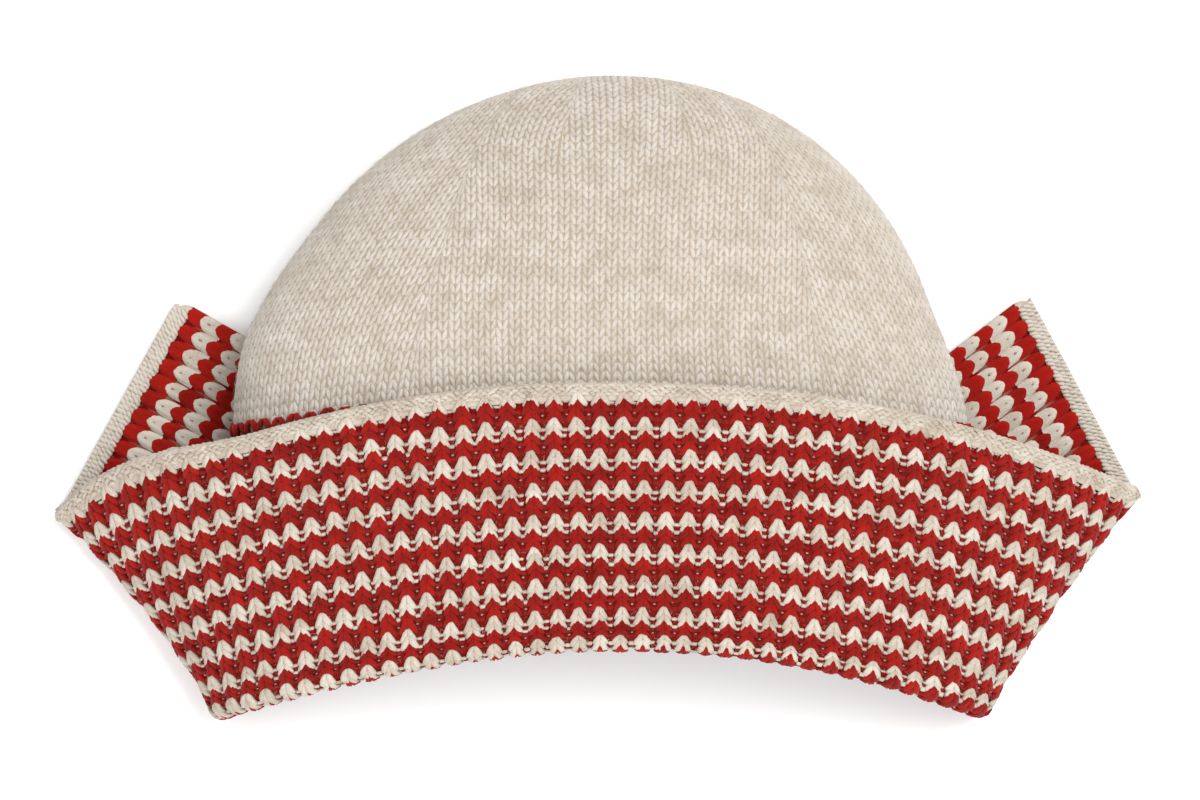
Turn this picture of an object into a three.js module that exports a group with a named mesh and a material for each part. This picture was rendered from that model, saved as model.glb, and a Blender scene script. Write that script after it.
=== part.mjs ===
// Knitted flap hat, lying on its back on a table, in millimetres.
// X runs across the hat, Y from its mouth to the top of its crown, Z up from the table.
// The crown is a hollow knitted dome. The striped rib flap runs down from the crown's rim, turns up
// over itself at the bottom fold and folds flat at both sides into wings that lie on the table.
// A plain cream edge finishes the flap's free side.
import * as THREE from "three";

// Knit thickness, how far a rib's thickness swings either way, and the gaps at the seams
const CROWN_WALL = 2.4;
const RIB_WALL = 3.2;
const RIB_RELIEF = 0.4;
const SEAM_GAP = 0.3;
const RIM_GAP = 0.6;

// Crown: its widest line lies at WIDEST_Y, its front rises over that line and its back lies flat.
// The back's section is a superellipse with square shoulders, pressed past the table and cut off there.
const CROWN_HALF_WIDTH = 95;
const CROWN_LENGTH = 94;
const WIDEST_Y = -6.4;
const SIDE_HEIGHT = 20;
const FRONT_RISE = 42;
const TOP_SHIFT = 4;
const BACK_SQUARENESS = 0.5;
const BACK_FULLNESS = 0.6;
const BACK_OVERPRESS = 6;
const CROWN_ROWS = 15;
const CROWN_COLUMNS = 44;

// Where the crown's rim lies along Y, at the middle of its front, at its sides and at its back
const RIM_Y = { front: -1, side: -11, back: 1 };

// The crown's back is held off the table by the wings and comes down beyond them
const WING_LIFT = 5;
const LIFT_ENDS_Y = 22;
const TABLE_MEETS_Y = 46;

// Flap outline in plan: the cream edge and the bottom fold are arcs across the front
const EDGE_MIDDLE_Y = 3.7;
const FOLD_MIDDLE_Y = -70.6;
const FOOT_Y = -89.5;
const FOLD_BOW = 2;

// Each side of the flap in plan: its corner, its foot, the end of its wing, how many degrees that end
// leans from square, and the edge's bow
const SIDES = [
  { sign: -1, cornerX: 149.4, cornerY: -32.6, footX: 107.5, wingX: 115.8, wingY: 27.0, endLean: 0, bow: 2.2 },
  { sign: 1, cornerX: 149.4, cornerY: -25.8, footX: 107.5, wingX: 117.3, wingY: 28.4, endLean: 8, bow: 2.3 },
];

// Flap heights: the front's middle at the fold and at the edge, and the fold radius at foot and corner
const FOLD_MIDDLE_Z = 53;
const EDGE_MIDDLE_Z = 66;
const FOOT_RADIUS = 7;
const CORNER_RADIUS = 2.4;
const ARCH_ROUNDNESS = { fold: 0.5, edge: 0.75 };
const LAYER_GAP = 1;
const FLAP_DEPTH = 74;
const EDGE_WIDTH = 7.5;

// Ribs on each half of the front and on each wing, two sections to a rib, a little closer at the sides
const FRONT_RIBS = 25;
const WING_RIBS = 11;
const SIDE_CROWDING = 0.2;
const TURN_STEPS = 4;
const INNER_STEPS = 3;
const UTURN_STEPS = 4;
const OUTER_STEPS = 4;

// Where the inner layer meets the crown's rim, as the angle round the crown, from side to wing end
const RIM_ANGLE = { turn: 20, wingEnd: 75.5 };

const OATMEAL = { color: 0xd8cdb8, roughness: 0.95, metalness: 0 };
const RED_STRIPE = { color: 0xb02a20, roughness: 0.95, metalness: 0 };
const CREAM = { color: 0xe6ddca, roughness: 0.95, metalness: 0 };

const { lerp, smoothstep, degToRad } = THREE.MathUtils;

// Height of the crown's back over the table: lifted by the wings, then down on the table
function backHeight(y) {
  return WING_LIFT * (1 - smoothstep(y, LIFT_ENDS_Y, TABLE_MEETS_Y));
}

// A point of the crown, inset from its outer face. Theta runs from the top to the rim and phi round the
// crown from the right side over the front. The front is an ellipse, the back a flattened superellipse.
function crownPoint(theta, phi, inset) {
  const across = (CROWN_HALF_WIDTH - inset) * Math.sin(theta);
  const y = WIDEST_Y + (CROWN_LENGTH - inset) * Math.cos(theta);
  const shift = TOP_SHIFT * Math.max(Math.cos(theta), 0) ** 2;
  const side = Math.cos(phi);
  const rise = Math.sin(phi);
  if (rise >= 0) {
    const z = SIDE_HEIGHT + (FRONT_RISE - inset) * Math.sin(theta) * rise;
    return new THREE.Vector3(across * side + shift, y, z);
  }
  const table = backHeight(y);
  const fullness = Math.sin(theta) ** BACK_FULLNESS * (-rise) ** BACK_SQUARENESS;
  const z = SIDE_HEIGHT - (SIDE_HEIGHT - table + BACK_OVERPRESS - inset) * fullness;
  const x = across * Math.sign(side) * Math.abs(side) ** BACK_SQUARENESS;
  return new THREE.Vector3(x + shift, y, Math.max(z, table + inset));
}

// Where the rim lies along Y at an angle round the crown
function rimY(phi) {
  const middle = Math.sin(phi) >= 0 ? RIM_Y.front : RIM_Y.back;
  return lerp(middle, RIM_Y.side, Math.cos(phi) ** 2);
}

// The theta at which the crown, inset from its outer face, reaches a height along Y
function thetaAt(y, inset) {
  return Math.acos((y - WIDEST_Y) / (CROWN_LENGTH - inset));
}

// Geometry from points and triangles, with faces outward
function solid(points, triangles) {
  const geometry = new THREE.BufferGeometry();
  geometry.setAttribute("position", new THREE.Float32BufferAttribute(points.flatMap((p) => p.toArray()), 3));
  geometry.setIndex(triangles);
  geometry.computeVertexNormals();
  return geometry;
}

// Two triangles for a four-sided face, its corners given anticlockwise from outside
function quad(triangles, a, b, c, d) {
  triangles.push(a, b, c, a, c, d);
}

// The crown's wall: an outer and an inner dome from their poles to the rim, joined along the rim
function crownGeometry() {
  const points = [];
  const triangles = [];
  const poles = [];
  const ring = (layer, row, column) => layer * CROWN_ROWS * CROWN_COLUMNS
    + (row - 1) * CROWN_COLUMNS + (column % CROWN_COLUMNS);
  for (const inset of [0, CROWN_WALL]) {
    for (let row = 1; row <= CROWN_ROWS; row += 1) {
      for (let column = 0; column < CROWN_COLUMNS; column += 1) {
        const phi = (2 * Math.PI * column) / CROWN_COLUMNS;
        const theta = (thetaAt(rimY(phi), inset) * row) / CROWN_ROWS;
        points.push(crownPoint(theta, phi, inset));
      }
    }
  }
  for (const inset of [0, CROWN_WALL]) {
    poles.push(points.length);
    points.push(crownPoint(0, 0, inset));
  }
  for (let column = 0; column < CROWN_COLUMNS; column += 1) {
    const next = column + 1;
    triangles.push(poles[0], ring(0, 1, next), ring(0, 1, column));
    triangles.push(poles[1], ring(1, 1, column), ring(1, 1, next));
    for (let row = 1; row < CROWN_ROWS; row += 1) {
      const below = row + 1;
      quad(triangles, ring(0, row, column), ring(0, row, next), ring(0, below, next), ring(0, below, column));
      quad(triangles, ring(1, row, column), ring(1, below, column), ring(1, below, next), ring(1, row, next));
    }
    const last = CROWN_ROWS;
    quad(triangles, ring(0, last, column), ring(0, last, next), ring(1, last, next), ring(1, last, column));
  }
  return solid(points, triangles);
}

// A sheet of cloth: a grid of points in its middle given its thickness, which may change by section.
// Rows run along the sheet and columns across it, and the normal is the step along it crossed with the
// step across it.
function sheetGeometry(middle, wallAt) {
  const rows = middle.length;
  const columns = middle[0].length;
  const faces = [[], []];
  for (let i = 0; i < rows; i += 1) {
    for (let j = 0; j < columns; j += 1) {
      const along = middle[Math.min(i + 1, rows - 1)][j].clone().sub(middle[Math.max(i - 1, 0)][j]);
      const across = middle[i][Math.min(j + 1, columns - 1)].clone().sub(middle[i][Math.max(j - 1, 0)]);
      const normal = along.cross(across).normalize();
      faces[0].push(middle[i][j].clone().addScaledVector(normal, wallAt(i) / 2));
      faces[1].push(middle[i][j].clone().addScaledVector(normal, -wallAt(i) / 2));
    }
  }
  const at = (layer, i, j) => layer * rows * columns + i * columns + j;
  const triangles = [];
  const lastRow = rows - 1;
  const lastColumn = columns - 1;
  for (let i = 0; i < lastRow; i += 1) {
    for (let j = 0; j < lastColumn; j += 1) {
      quad(triangles, at(0, i, j), at(0, i + 1, j), at(0, i + 1, j + 1), at(0, i, j + 1));
      quad(triangles, at(1, i, j), at(1, i, j + 1), at(1, i + 1, j + 1), at(1, i + 1, j));
    }
    quad(triangles, at(0, i, 0), at(1, i, 0), at(1, i + 1, 0), at(0, i + 1, 0));
    quad(triangles, at(0, i, lastColumn), at(0, i + 1, lastColumn), at(1, i + 1, lastColumn),
      at(1, i, lastColumn));
  }
  for (let j = 0; j < lastColumn; j += 1) {
    quad(triangles, at(0, 0, j), at(0, 0, j + 1), at(1, 0, j + 1), at(1, 0, j));
    quad(triangles, at(0, lastRow, j), at(1, lastRow, j), at(1, lastRow, j + 1), at(0, lastRow, j + 1));
  }
  return solid([...faces[0], ...faces[1]], triangles);
}

// The sections of the flap from the left wing's end round the front to the right wing's end. Each names
// its side, its part (front, turn or wing) and how far along that part it lies, from 0 to 1.
function flapSections() {
  const half = (side) => {
    const sections = [];
    for (let i = 1; i <= 2 * FRONT_RIBS; i += 1) {
      sections.push({ side, part: "front", share: i / (2 * FRONT_RIBS) });
    }
    for (let i = 1; i <= TURN_STEPS; i += 1) {
      sections.push({ side, part: "turn", share: i / TURN_STEPS });
    }
    for (let i = 1; i <= 2 * WING_RIBS; i += 1) {
      sections.push({ side, part: "wing", share: i / (2 * WING_RIBS) });
    }
    return sections;
  };
  const middle = { side: SIDES[1], part: "front", share: 0 };
  return [...half(SIDES[0]).reverse(), middle, ...half(SIDES[1])];
}

// The four plan corners of a wing's middle surface, with its end square to its cream edge but for its lean
function wingPlan(side) {
  const wall = RIB_WALL / 2;
  const corner = new THREE.Vector2(side.sign * (side.cornerX - wall), side.cornerY);
  const foot = new THREE.Vector2(side.sign * (side.footX - wall), FOOT_Y + LAYER_GAP / 2 + RIB_WALL);
  const edgeEnd = new THREE.Vector2(side.sign * side.wingX, side.wingY);
  const alongEdge = edgeEnd.clone().sub(corner).normalize();
  const inward = new THREE.Vector2(-side.sign * alongEdge.y, side.sign * alongEdge.x);
  inward.rotateAround(new THREE.Vector2(), side.sign * degToRad(side.endLean));
  const foldEnd = edgeEnd.clone().addScaledVector(inward, FLAP_DEPTH);
  return { corner, foot, edgeEnd, foldEnd };
}

// How far across the front a section lies, from 0 at its middle to 1 at the side fold
function frontReach(share) {
  return lerp(share, Math.sin((share * Math.PI) / 2), SIDE_CROWDING);
}

// A point on the middle of the flap's outer layer. The share v runs from the bottom fold to the cream edge.
// The front is an arch between the fold's arc and the edge's arc, the turn a quarter circle under the
// side fold, and the wing a flat quadrilateral on the table.
function outerPoint(section, v) {
  const { side, part, share } = section;
  const { corner, foot, edgeEnd, foldEnd } = wingPlan(side);
  const radius = lerp(FOOT_RADIUS, CORNER_RADIUS, v);
  const layerZ = RIB_WALL / 2 + RIB_RELIEF / 2;
  if (part === "front") {
    const q = frontReach(share);
    const foldY = lerp(FOLD_MIDDLE_Y + LAYER_GAP / 2 + RIB_WALL, foot.y, q ** FOLD_BOW);
    const edgeY = lerp(EDGE_MIDDLE_Y, corner.y, q ** side.bow);
    const roundness = lerp(ARCH_ROUNDNESS.fold, ARCH_ROUNDNESS.edge, v);
    const middleZ = lerp(FOLD_MIDDLE_Z, EDGE_MIDDLE_Z, v);
    const sideZ = layerZ + radius;
    const z = sideZ + (middleZ - sideZ) * (1 - q * q) ** roundness;
    return new THREE.Vector3(lerp(foot.x, corner.x, v) * q, lerp(foldY, edgeY, v), z);
  }
  const fold = foot.clone().lerp(corner, v);
  const inward = corner.clone().sub(foot).normalize();
  inward.set(-side.sign * inward.y, side.sign * inward.x);
  const turn = part === "turn" ? (share * Math.PI) / 2 : Math.PI / 2;
  const start = fold.addScaledVector(inward, radius * (1 - Math.cos(turn)));
  const z = layerZ + radius * (1 - Math.sin(turn));
  if (part === "turn") {
    return new THREE.Vector3(start.x, start.y, z);
  }
  const end = foldEnd.clone().lerp(edgeEnd, v);
  const place = start.lerp(end, share);
  return new THREE.Vector3(place.x, place.y, z);
}

// A point on the crown's rim that a section of the flap's inner layer meets
function rimPoint(section) {
  const { side, part, share } = section;
  const rightPhi = {
    front: Math.acos(frontReach(share)),
    turn: -degToRad(RIM_ANGLE.turn) * share,
    wing: -degToRad(lerp(RIM_ANGLE.turn, RIM_ANGLE.wingEnd, share)),
  }[part];
  const phi = side.sign > 0 ? rightPhi : Math.PI - rightPhi;
  const theta = thetaAt(rimY(phi), CROWN_WALL / 2);
  const point = crownPoint(theta, phi, CROWN_WALL / 2);
  point.y -= RIM_GAP;
  return point;
}

// The outward normal of the outer layer at the bottom fold, by small steps along and across the flap
function foldNormals(sections) {
  const step = 0.02;
  const points = sections.map((section) => outerPoint(section, 0));
  return sections.map((section, i) => {
    const before = points[Math.max(i - 1, 0)];
    const after = points[Math.min(i + 1, points.length - 1)];
    const along = after.clone().sub(before);
    const up = outerPoint(section, step).sub(points[i]);
    return along.cross(up).normalize();
  });
}

// The middle surface of the whole strip, one row for each section: from the crown's rim down the inner
// layer, round the bottom fold in a half circle and up the outer layer to the cream edge's seam
function flapMiddle(sections) {
  const normals = foldNormals(sections);
  const uturnRadius = (RIB_WALL + LAYER_GAP) / 2;
  const seam = 1 - (EDGE_WIDTH + SEAM_GAP) / FLAP_DEPTH;
  return sections.map((section, i) => {
    const outerFoot = outerPoint(section, 0);
    const centre = outerFoot.clone().addScaledVector(normals[i], -uturnRadius);
    const down = outerFoot.clone().sub(outerPoint(section, seam)).normalize();
    const innerFoot = centre.clone().addScaledVector(normals[i], -uturnRadius);
    const rim = rimPoint(section);
    const row = [];
    for (let j = 0; j < INNER_STEPS; j += 1) {
      row.push(rim.clone().lerp(innerFoot, j / INNER_STEPS));
    }
    for (let j = 0; j <= UTURN_STEPS; j += 1) {
      const angle = (Math.PI * j) / UTURN_STEPS;
      const point = centre.clone().addScaledVector(normals[i], -uturnRadius * Math.cos(angle));
      row.push(point.addScaledVector(down, uturnRadius * Math.sin(angle)));
    }
    for (let j = 1; j <= OUTER_STEPS; j += 1) {
      row.push(outerPoint(section, (seam * j) / OUTER_STEPS));
    }
    return row;
  });
}

// The middle surface of the cream edge, from its seam with the flap to its free side
function edgeMiddle(sections) {
  const seam = 1 - EDGE_WIDTH / FLAP_DEPTH;
  return sections.map((section) => [outerPoint(section, seam), outerPoint(section, (1 + seam) / 2),
    outerPoint(section, 1)]);
}

// A named piece with its own material
function piece(name, geometry, finish) {
  const mesh = new THREE.Mesh(geometry, new THREE.MeshStandardMaterial(finish));
  mesh.name = name;
  return mesh;
}

const sections = flapSections();
const ribbedWall = (i) => RIB_WALL + (i % 2 ? RIB_RELIEF : -RIB_RELIEF);
const plainWall = () => RIB_WALL;

const hat = new THREE.Group();
hat.add(piece("crown", crownGeometry(), OATMEAL));
hat.add(piece("flap", sheetGeometry(flapMiddle(sections), ribbedWall), RED_STRIPE));
hat.add(piece("flap_edge", sheetGeometry(edgeMiddle(sections), plainWall), CREAM));

// The origin is the middle of the hat's underside
const box = new THREE.Box3().setFromObject(hat);
const centre = box.getCenter(new THREE.Vector3());
hat.position.set(-centre.x, -centre.y, -box.min.z);

export default hat;
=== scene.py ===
"""Knits the looks of a flap hat that lies on its back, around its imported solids.

X runs across the hat, Y from its mouth to the top of its crown, Z up from the floor. The shapes are worked
out in millimetres and put into the meshes in metres. Each cloth is a thin closed base with its stitches on
it, and every stitch is a small spindle of yarn laid along a path on that cloth.
"""

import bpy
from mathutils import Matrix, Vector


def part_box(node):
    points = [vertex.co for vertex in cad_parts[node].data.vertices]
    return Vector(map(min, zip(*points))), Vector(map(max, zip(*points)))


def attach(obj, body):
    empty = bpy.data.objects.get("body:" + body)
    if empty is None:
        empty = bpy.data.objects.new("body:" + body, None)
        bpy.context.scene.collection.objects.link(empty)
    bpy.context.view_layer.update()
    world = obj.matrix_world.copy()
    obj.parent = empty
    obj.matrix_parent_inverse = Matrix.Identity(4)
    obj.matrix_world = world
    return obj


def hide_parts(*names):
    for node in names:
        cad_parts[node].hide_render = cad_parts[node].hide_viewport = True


bl_info = {
    "name": "Knitted Flap Hat",
    "version": (1, 0, 0),
    "blender": (4, 5, 0),
    "location": "View3D > Sidebar > Flap Hat",
    "description": "Knits a domed crown and a striped rib flap around the solids of a flap hat",
    "category": "Add Mesh",
}

import bpy
import numpy as np

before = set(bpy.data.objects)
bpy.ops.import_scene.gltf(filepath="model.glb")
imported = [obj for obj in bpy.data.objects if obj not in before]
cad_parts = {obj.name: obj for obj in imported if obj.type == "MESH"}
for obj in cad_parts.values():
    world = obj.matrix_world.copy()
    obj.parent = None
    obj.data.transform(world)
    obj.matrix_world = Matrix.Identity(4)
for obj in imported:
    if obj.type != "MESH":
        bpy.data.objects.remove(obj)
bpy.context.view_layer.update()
MM = 0.001

# Knit thickness and the gap at the crown's rim, as in the solids
CROWN_WALL = 2.4
RIB_WALL = 3.2
RIB_RELIEF = 0.4
RIM_GAP = 0.6

# Bases under the stitches: half the strip, half the cream edge with its rounded side, and the crown's depth
STRIP_HALF = 0.6
EDGE_HALF = 1.2
EDGE_ROUNDED_ROWS = 0.5
CROWN_BASE_DEPTH = 0.22

# Crown: its widest line, its front that rises over it and its back that lies flat
CROWN_HALF_WIDTH = 95.0
CROWN_LENGTH = 94.0
WIDEST_Y = -6.4
SIDE_HEIGHT = 20.0
FRONT_RISE = 42.0
TOP_SHIFT = 4.0
BACK_FULLNESS = 0.6
BACK_OVERPRESS = 6.0
RIM_FRONT_Y = -1.0
RIM_SIDE_Y = -11.0
RIM_BACK_Y = 1.0
WING_LIFT = 5.0
LIFT_ENDS_Y = 22.0
TABLE_MEETS_Y = 46.0

# How far the crown widens at its rim on the left and on the right, and between which lines across it
RIM_FLARE = (5.0, 5.5)
FLARE_FULL_Y = (10.0, -12.0)
FLARE_STARTS_Y = (52.0, 28.0)

# How far the solids were moved to put the origin under their middle, read at the crown's top
SHIFT = np.array([0.0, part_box("crown")[1].y / MM - (WIDEST_Y + CROWN_LENGTH), 0.0])

# Flap: its two arcs across the front, its heights and its folds
EDGE_MIDDLE_Y = 3.7
FOLD_MIDDLE_Y = -69.5
FOOT_Y = -88.8
FOLD_MIDDLE_Z = 53.0
EDGE_MIDDLE_Z = 66.0
FOOT_RADIUS = 7.0
CORNER_RADIUS = 2.4
FOLD_ROUNDNESS = 0.5
EDGE_ROUNDNESS = 0.75
LAYER_GAP = 1.0
FLAP_DEPTH = 74.0
SIDE_CROWDING = 0.06
CROWDING_POWER = 9
RIM_TURN = 20.0
RIM_WING_END = 75.5

# Each side of the flap in plan, left and then right
CORNER_X = (151.0, 149.4)
CORNER_Y = (-32.0, -25.8)
FOOT_X = (107.5, 107.5)
WING_X = (115.8, 117.3)
WING_Y = (27.0, 28.4)
END_LEAN = (0.0, 8.0)
EDGE_BOW = (2.05, 2.3)
FOLD_BOW = (1.7, 2.2)
EDGE_LIFT = (5.0, 0.0)
SIDE_BOW = (3.6, 1.9)

# How the bow of the side fold and the lift of the cream edge fade out
BOW_POWER = 0.6
LIFT_REACH = (0.62, 0.9)
LIFT_END_POWER = 20
LIFT_DEPTH_POWER = 6

# How the strip is knitted: columns on each half of it, where its side folds cross them, and rows across it
HALF_COLUMNS = 38.4
FOOT_COLUMN = 19.7
CORNER_COLUMN = 25.3
COLUMN_MM = 6.0
ROW_MM = 2.12
SEAM_SHARE = 0.933
ROW_SHARE = 0.03088
EDGE_ROW = -(1 - SEAM_SHARE) / ROW_SHARE
CHAIN_ROW = EDGE_ROW + 0.3
FLAT_ROWS = SEAM_SHARE / ROW_SHARE
ROUND_ROWS = 1.0
ROUND_STARTS = 27.0
FOLD_ROW = FLAT_ROWS + ROUND_ROWS
UTURN_ROWS = 3.1
INNER_ROWS = 31.0
RIM_ROW = FOLD_ROW + UTURN_ROWS + INNER_ROWS
INNER_STARTS = FOLD_ROW + 2
REVERSE_SHIFT = -0.2
SLIP = 0.065
SLIP_REACH = (-6.0, 19.0)
SLIP_ENDS = (19.0, 25.0)
STRIPE_SPREAD = np.array([-0.22, -0.05, 0.14, 0.0])
SWAY = 0.045

# The rounded corners of the strip's ends at the cream edge, and the links of its chain in each column
CORNER_ROWS = 2.3
CORNER_COLUMNS = 1.1
LINKS_A_COLUMN = 2

# How the crown is knitted: sectors that meet at its lines of decreases, and how far its pole lies behind
PANELS = 4
PANEL_WALES = 35
NARROWING = 0.92
INNER_LINE = 0.43
BEND_STARTS = 0.5
BEND_ENDS = 0.68
POLE_LEAN = np.radians(26.0)
PANEL_OFFSET_MM = 6.3
COURSE_MM = 2.42
WALE_MM = 3.1
FINE_LEFT_WALE = 5
FINE_RIGHT_WALE = 0
RIM_STITCH_MM = 5.2

# Stray fibres on each piece, how far they stand off and how much further out they start on the flap
CROWN_FIBRES = 14000
FRONT_FIBRES = 15000
WING_FIBRES = 9000
EDGE_FIBRES = 3000
FIBRE_LIFT = 0.7
FIBRE_START = 1.6

# Soft studio lights: name, place and size in metres, power in watts
LIGHTS = (
    ("key_light", (0.9, 0.7, 1.9), 1.4, 47.0),
    ("fill_light", (-0.7, -1.7, 1.2), 1.6, 28.0),
)
ROOM_LIGHT = 0.9
FLOOR_HALF = 12000
SENSOR_WIDTH = 36.0
CAMERA_Y = -0.00071
VIEWED_HEIGHT = 0.018


def from_srgb(red, green, blue):
    """Linear light from colour values as an eye reads them, by the usual power law of screens."""
    values = np.array([red, green, blue]) / 255
    return tuple(np.where(values < 0.04045, values / 12.92, ((values + 0.055) / 1.055) ** 2.4))


def lerp(start, end, share):
    """The value that lies a share of the way from start to end."""
    return start + (end - start) * share


def smooth_between(value, low, high):
    """Rises from 0 at low to 1 at high along a cubic with level ends."""
    share = np.clip((value - low) / (high - low), 0, 1)
    return share * share * (3 - 2 * share)


def by_side(sign, pair):
    """The left or the right side's value, by sign."""
    return np.where(sign < 0, pair[0], pair[1])


def unit(vectors):
    """Vectors divided by their lengths."""
    return vectors / np.maximum(np.linalg.norm(vectors, axis=-1, keepdims=True), 1e-12)


def lengths_along(points, axis):
    """How far each point lies along its line, as the running sum of the steps between points."""
    steps = np.linalg.norm(np.diff(points, axis=axis), axis=-1)
    padding = [(0, 0)] * steps.ndim
    padding[axis] = (1, 0)
    return np.pad(np.cumsum(steps, axis=axis), padding)


def crown_surface(direction):
    """The crown's outer face for unit directions from inside it.

    Along the hat it is an ellipsoid. Its front is an ellipse over the widest line. Its back is a fourth power
    superellipse, pressed past the table and cut off there, and the wings hold it up near the rim. It flares a
    little towards its rim.
    """
    x, y, z = np.moveaxis(direction, -1, 0)
    ring = np.sqrt(np.maximum(1 - y * y, 1e-12))
    along = WIDEST_Y + CROWN_LENGTH * y
    shift = TOP_SHIFT * np.maximum(y, 0) ** 2
    quartic = np.maximum((x**4 + z**4) ** 0.25, 1e-9)
    table = WING_LIFT * (1 - smooth_between(along, LIFT_ENDS_Y, TABLE_MEETS_Y))
    sunk = (SIDE_HEIGHT - table + BACK_OVERPRESS) * ring**BACK_FULLNESS * np.maximum(-z, 0) / quartic
    back_z = np.maximum(SIDE_HEIGHT - sunk, table)
    front = z >= 0
    flare = 1 - smooth_between(along, by_side(x, FLARE_FULL_Y), by_side(x, FLARE_STARTS_Y))
    half_width = CROWN_HALF_WIDTH + by_side(x, RIM_FLARE) * flare
    across = half_width * np.where(front, x, ring * x / quartic)
    height = np.where(front, SIDE_HEIGHT + FRONT_RISE * z, back_z)
    return np.stack([across + shift, along, height], -1)


def crown_direction(theta, turn):
    """Unit directions for an angle from the knit's pole and an angle round it from the right side.

    Directions on a sphere, turned about X by a lean that fades from the pole to the widest line.
    """
    lean = POLE_LEAN * np.cos(np.minimum(theta, np.pi / 2)) ** 2
    x = np.sin(theta) * np.cos(turn)
    y = np.cos(theta)
    z = np.sin(theta) * np.sin(turn)
    leaning_y = y * np.cos(lean) + z * np.sin(lean)
    leaning_z = z * np.cos(lean) - y * np.sin(lean)
    return np.stack([x, leaning_y, leaning_z], -1)


def rim_angle(turn):
    """The angle from the pole at which the crown's rim lies, from the rim's place along Y."""
    side = np.cos(turn)
    rise = np.sin(turn)
    flat_side = side**4 / (side**4 + rise**4)
    share = np.where(rise >= 0, side**2, flat_side)
    middle = np.where(rise >= 0, RIM_FRONT_Y, RIM_BACK_Y)
    return np.arccos((lerp(middle, RIM_SIDE_Y, share) - WIDEST_Y) / CROWN_LENGTH)


def square_to(line, sign):
    """The unit direction in plan that lies square to a line, on the hat's side of it."""
    along = unit(line)
    return np.stack([-sign * along[..., 1], sign * along[..., 0]], -1)


def flap_plan(sign):
    """The four plan corners of a wing's middle surface, its end square to its cream edge but for its lean."""
    corner = np.stack([sign * (by_side(sign, CORNER_X) - RIB_WALL / 2), by_side(sign, CORNER_Y)], -1)
    foot_y = np.full(np.shape(sign), FOOT_Y + LAYER_GAP / 2 + RIB_WALL)
    foot = np.stack([sign * (by_side(sign, FOOT_X) - RIB_WALL / 2), foot_y], -1)
    edge_end = np.stack([sign * by_side(sign, WING_X), by_side(sign, WING_Y)], -1)
    inward = square_to(edge_end - corner, sign)
    lean = (sign * np.radians(by_side(sign, END_LEAN)))[..., None]
    crosswise = np.stack([-inward[..., 1], inward[..., 0]], -1)
    fold_end = edge_end + (inward * np.cos(lean) + crosswise * np.sin(lean)) * FLAP_DEPTH
    return corner, foot, edge_end, fold_end


def side_bow(sign, share):
    """How far the side fold is drawn in at a share of the flap's depth: most in its middle."""
    return by_side(sign, SIDE_BOW) * (4 * share * (1 - share)) ** BOW_POWER


def flap_place(column, share):
    """Where a column lies at a share of the flap's depth.

    Gives its side's sign, its reach over the front, the angle it has turned under the side fold and its share
    of the wing. The columns run straight over the folds, a little crowded just before them.
    """
    sign = np.where(column < 0, -1.0, 1.0)
    corner, foot, edge_end, fold_end = flap_plan(sign)
    fold = lerp(FOOT_COLUMN, CORNER_COLUMN, share)
    over = np.clip(abs(column) / fold, 0, 1)
    reach = over * (1 + SIDE_CROWDING * (1 - over**CROWDING_POWER))
    radius = lerp(FOOT_RADIUS, CORNER_RADIUS, share)
    inward = square_to(corner - foot, sign) * (radius + side_bow(sign, share))[..., None]
    start = lerp(foot, corner, share[..., None]) + inward
    end = lerp(fold_end, edge_end, share[..., None])
    wing = np.linalg.norm(end - start, axis=-1)
    beyond = np.clip((abs(column) - fold) / (HALF_COLUMNS - fold), 0, 1) * (wing + radius * np.pi / 2)
    turn = np.minimum(beyond / radius, np.pi / 2)
    along = np.maximum(beyond - radius * np.pi / 2, 0) / wing
    return sign, reach, turn, along


def flap_outer(column, share):
    """The middle of the flap's outer layer, from the bottom fold at share 0 to the cream edge at share 1.

    The front is an arch between the fold's arc and the edge's arc, the side fold a quarter circle under it,
    and the wing a flat quadrilateral on the table.
    """
    sign, reach, turn, along = flap_place(column, share)
    corner, foot, edge_end, fold_end = flap_plan(sign)
    radius = lerp(FOOT_RADIUS, CORNER_RADIUS, share)
    layer = RIB_WALL / 2 + RIB_RELIEF / 2
    fold_middle = FOLD_MIDDLE_Y + LAYER_GAP / 2 + RIB_WALL
    fold_y = lerp(fold_middle, foot[..., 1], reach ** by_side(sign, FOLD_BOW))
    edge_y = lerp(EDGE_MIDDLE_Y, corner[..., 1], reach ** by_side(sign, EDGE_BOW))
    roundness = lerp(FOLD_ROUNDNESS, EDGE_ROUNDNESS, share)
    side_z = layer + radius
    arch = (lerp(FOLD_MIDDLE_Z, EDGE_MIDDLE_Z, share) - side_z) * np.maximum(1 - reach**2, 0) ** roundness
    across = lerp(foot[..., 0], corner[..., 0], share) * reach
    faded = (1 - reach**LIFT_END_POWER) * share**LIFT_DEPTH_POWER
    lifted = by_side(sign, EDGE_LIFT) * smooth_between(reach, *LIFT_REACH) * faded
    inward = square_to(corner - foot, sign)
    bow = side_bow(sign, share)
    drawn = inward * (bow * reach**2)[..., None]
    along_hat = lerp(fold_y, edge_y, share) + lifted + drawn[..., 1]
    front = np.stack([across + drawn[..., 0], along_hat, side_z + arch], -1)
    turned_in = inward * (bow + radius * (1 - np.cos(turn)))[..., None]
    start = lerp(foot, corner, share[..., None]) + turned_in
    flat = lerp(start, lerp(fold_end, edge_end, share[..., None]), along[..., None])
    height = layer + radius * (1 - np.sin(turn))
    under = np.concatenate([flat, height[..., None]], -1)
    return np.where((turn > 0)[..., None], under, front)


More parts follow.
